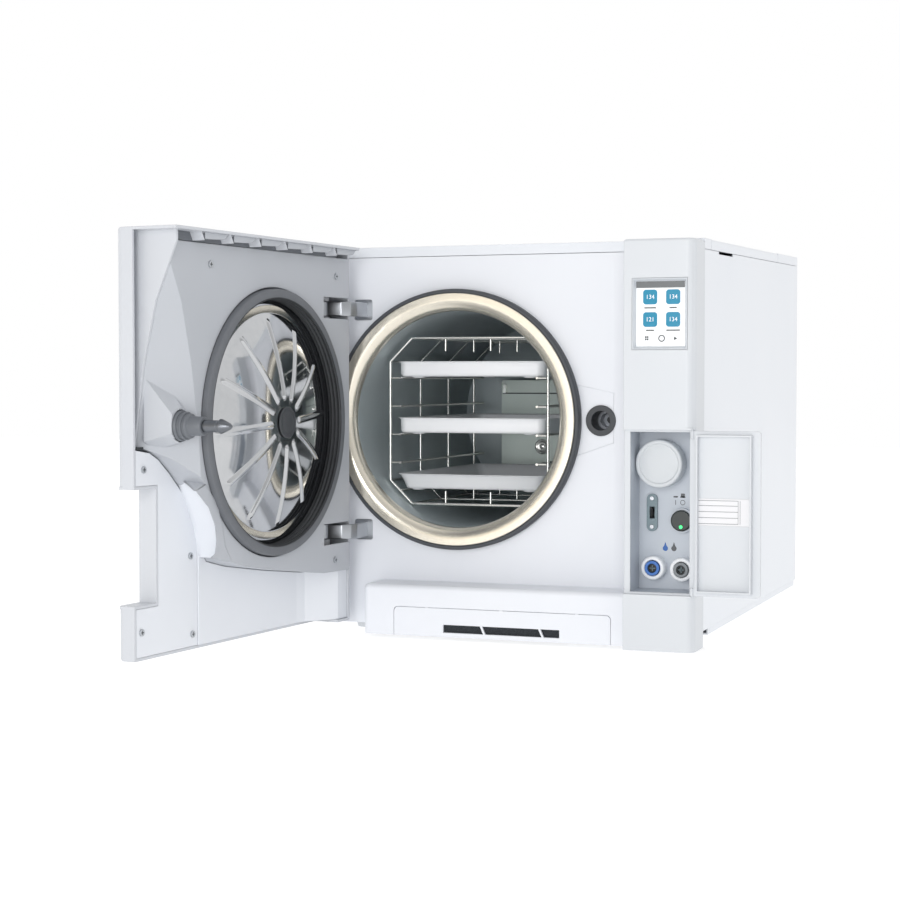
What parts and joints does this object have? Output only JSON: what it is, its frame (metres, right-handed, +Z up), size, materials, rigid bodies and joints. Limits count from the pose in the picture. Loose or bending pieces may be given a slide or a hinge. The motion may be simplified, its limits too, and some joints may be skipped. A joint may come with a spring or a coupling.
{
  "type": "autoclave",
  "caption": "Bench steam steriliser with an open round pressure chamber, tray rack, side-hung ribbed-lid door, touch screen and a small service bay behind its own door.",
  "frame": {"origin": "on the bench under the middle of the box that holds the machine with its main door and service door open", "axes": "+X to the right seen from the front, +Y to the back, +Z up"},
  "size_m": [0.5784, 0.9584, 0.4617],
  "materials": {
    "white_cover": "moulded, softly glossy",
    "white_paint": "powder coat",
    "zinc_sheet": "rolled sheet",
    "foot_rubber": "matt",
    "grey_cover": "fine grain",
    "polished_steel": "polished stainless",
    "trim_grey": "satin",
    "chamber_steel": "satin stainless",
    "inner_steel": "satin stainless",
    "wire_steel": "drawn wire",
    "tray_aluminium": "anodised",
    "lagging": "felted",
    "gasket_rubber": "silicone",
    "lock_black": "satin",
    "boot_plastic": "satin",
    "machined_steel": "machined",
    "fastener_steel": "bright zinc",
    "motor_black": "satin",
    "boiler_steel": "satin",
    "cooler_aluminium": "mill",
    "fan_plastic": "satin",
    "tank_plastic": "milky",
    "board_green": "coated board",
    "bezel_grey": "satin",
    "screen_glass": "glossy display",
    "cap_white": "satin",
    "usb_grey": "satin",
    "button_green": "glossy",
    "coupling_grey": "satin",
    "sleeve_blue": "satin",
    "sleeve_grey": "satin"
  },
  "bodies": {
    "cabinet": {"baffle_plate": "inner_steel", "base_front": "white_cover", "base_pan": "zinc_sheet", "chamber_cradle": "zinc_sheet", "chamber_flange": "polished_steel", "chamber_trim_ring": "trim_grey", "chamber_vessel": "chamber_steel", "clean_tank": "tank_plastic", "condenser": "cooler_aluminium", "control_column": "white_cover", "coupling_bodies": "coupling_grey", "drain_strainer": "inner_steel", "fan_frame": "fan_plastic", "feet": "foot_rubber", "filter_socket": "cap_white", "front_bulkhead": "zinc_sheet", "front_fascia": "white_cover", "hinge_arms": "machined_steel", "insulation": "lagging", "lock_bezel": "lock_black", "lock_motor": "motor_black", "lower_access_panel": "white_cover", "main_board": "board_green", "mains_inlet": "fan_plastic", "rack": "wire_steel", "rear_panel": "zinc_sheet", "screen_bezel": "bezel_grey", "service_bay": "white_cover", "side_panel_left": "white_paint", "side_panel_right": "white_paint", "steam_generator": "boiler_steel", "top_cover": "white_paint", "touch_screen": "screen_glass", "usb_plate": "usb_grey", "usb_screws": "fastener_steel", "used_tank": "tank_plastic", "vacuum_pump": "motor_black"},
    "main_door": {"door_shell": "white_cover", "hinge_pins": "machined_steel", "door_inner_cover": "grey_cover", "door_lower_plate": "white_cover", "door_liner": "white_cover", "chamber_lid": "polished_steel", "door_gasket": "gasket_rubber", "lid_hub": "lock_black", "lid_carrier": "machined_steel", "lock_pin": "machined_steel", "pin_boot": "boot_plastic", "door_screws": "fastener_steel"},
    "top_lid": {"top_lid": "white_paint"},
    "service_door": {"service_door": "white_cover"},
    "filter_cap": {"filter_cap": "cap_white"},
    "power_button": {"power_button": "button_green"},
    "clean_sleeve": {"clean_sleeve": "sleeve_blue"},
    "used_sleeve": {"used_sleeve": "sleeve_grey"},
    "lock_nut": {"lock_nut": "machined_steel"},
    "fan_rotor": {"fan_rotor": "fan_plastic"},
    "tray_upper": {"tray_upper": "tray_aluminium"},
    "tray_middle": {"tray_middle": "tray_aluminium"},
    "tray_lower": {"tray_lower": "tray_aluminium"}
  },
  "joints": [
    {"name": "door_swing", "type": "hinge", "parent": "cabinet", "child": "main_door", "pos_m": [-0.22747, -0.11333, 0.25], "axis": [0, 0, -1], "range_deg": [-95.6, 14]},
    {"name": "service_door_swing", "type": "hinge", "parent": "cabinet", "child": "service_door", "pos_m": [0.21524, -0.13883, 0.1535], "axis": [0, 0, 1], "range_deg": [-180, 0]},
    {"name": "top_lid_swing", "type": "hinge", "parent": "cabinet", "child": "top_lid", "pos_m": [0.05113, -0.06183, 0.44749], "axis": [0, -0.9998, -0.0215], "range_deg": [0, 80]},
    {"name": "tray_upper_slide", "type": "slide", "parent": "cabinet", "child": "tray_upper", "axis": [0, -1, 0], "range_m": [0, 0.26]},
    {"name": "tray_middle_slide", "type": "slide", "parent": "cabinet", "child": "tray_middle", "axis": [0, -1, 0], "range_m": [0, 0.26]},
    {"name": "tray_lower_slide", "type": "slide", "parent": "cabinet", "child": "tray_lower", "axis": [0, -1, 0], "range_m": [0, 0.26]},
    {"name": "power_button_press", "type": "slide", "parent": "cabinet", "child": "power_button", "axis": [0, 1, 0], "range_m": [0, 0.003], "stiffness_N_per_m": 300},
    {"name": "clean_sleeve_press", "type": "slide", "parent": "cabinet", "child": "clean_sleeve", "axis": [0, 1, 0], "range_m": [0, 0.003], "stiffness_N_per_m": 300},
    {"name": "used_sleeve_press", "type": "slide", "parent": "cabinet", "child": "used_sleeve", "axis": [0, 1, 0], "range_m": [0, 0.003], "stiffness_N_per_m": 300},
    {"name": "filter_cap_turn", "type": "hinge", "parent": "cabinet", "child": "filter_cap", "pos_m": [0.17324, -0.10583, 0.205], "axis": [0, 1, 0], "range_deg": [0, 180]},
    {"name": "lock_nut_spin", "type": "hinge", "parent": "cabinet", "child": "lock_nut", "pos_m": [0.09373, -0.03083, 0.25], "axis": [0, 1, 0], "continuous": true},
    {"name": "fan_spin", "type": "hinge", "parent": "cabinet", "child": "fan_rotor", "pos_m": [-0.07877, 0.46117, 0.132], "axis": [0, 1, 0], "continuous": true}
  ]
}
